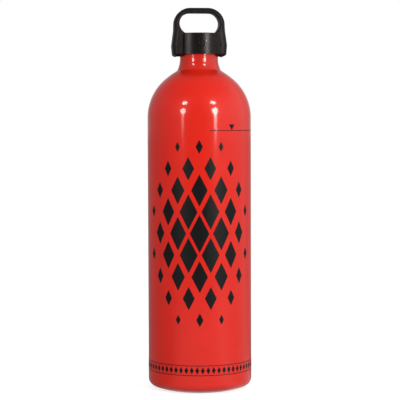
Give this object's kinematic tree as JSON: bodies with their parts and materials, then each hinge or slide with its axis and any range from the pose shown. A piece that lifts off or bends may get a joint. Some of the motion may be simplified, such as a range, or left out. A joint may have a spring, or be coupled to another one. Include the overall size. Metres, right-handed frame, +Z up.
{
  "type": "camping fuel bottle",
  "caption": "Tall round aluminium fuel bottle with a domed shoulder, a narrow threaded neck and a push-and-turn cap with a carrying loop.",
  "frame": {"origin": "on the ground under the middle of the foot ring", "axes": "+Z up along the bottle's axis, X across the cap's two wings, Y through the opening of its loop"},
  "size_m": [0.0762, 0.0762, 0.2794],
  "materials": {
    "red_coat": "glossy red coat on aluminium",
    "cap_black": "satin black moulding",
    "plug_black": "satin black moulding",
    "seal_rubber": "smooth fuel-proof rubber",
    "spring_steel": "drawn stainless wire",
    "washer_steel": "stamped stainless",
    "ring_steel": "stamped stainless"
  },
  "bodies": {
    "bottle": {"bottle_shell": "red_coat"},
    "seal": {"o_ring": "seal_rubber"},
    "plug": {"threaded_plug": "plug_black"},
    "washer": {"thrust_washer": "washer_steel", "return_spring": "spring_steel"},
    "shell": {"cap_shell": "cap_black", "retaining_ring": "ring_steel"}
  },
  "joints": [
    {"name": "cap_lift", "type": "slide", "parent": "bottle", "child": "seal", "axis": [0, 0, 1], "range_m": [0, 0.0151]},
    {"name": "cap_turn", "type": "hinge", "parent": "seal", "child": "plug", "pos_m": [0, 0, 0.242], "axis": [0, 0, 1], "range_deg": [0, 1800]},
    {"name": "shell_spin", "type": "hinge", "parent": "plug", "child": "washer", "pos_m": [0, 0, 0.251], "axis": [0, 0, 1], "continuous": true},
    {"name": "shell_push", "type": "slide", "parent": "washer", "child": "shell", "axis": [0, 0, 1], "range_m": [-0.0018, 0], "stiffness_N_per_m": 2500, "springref_m": 0.0008, "deforming": ["return_spring"]}
  ],
  "couplings": [
    {"joint": "cap_lift", "follows": "cap_turn", "m_per_rad": 0.00047746}
  ]
}
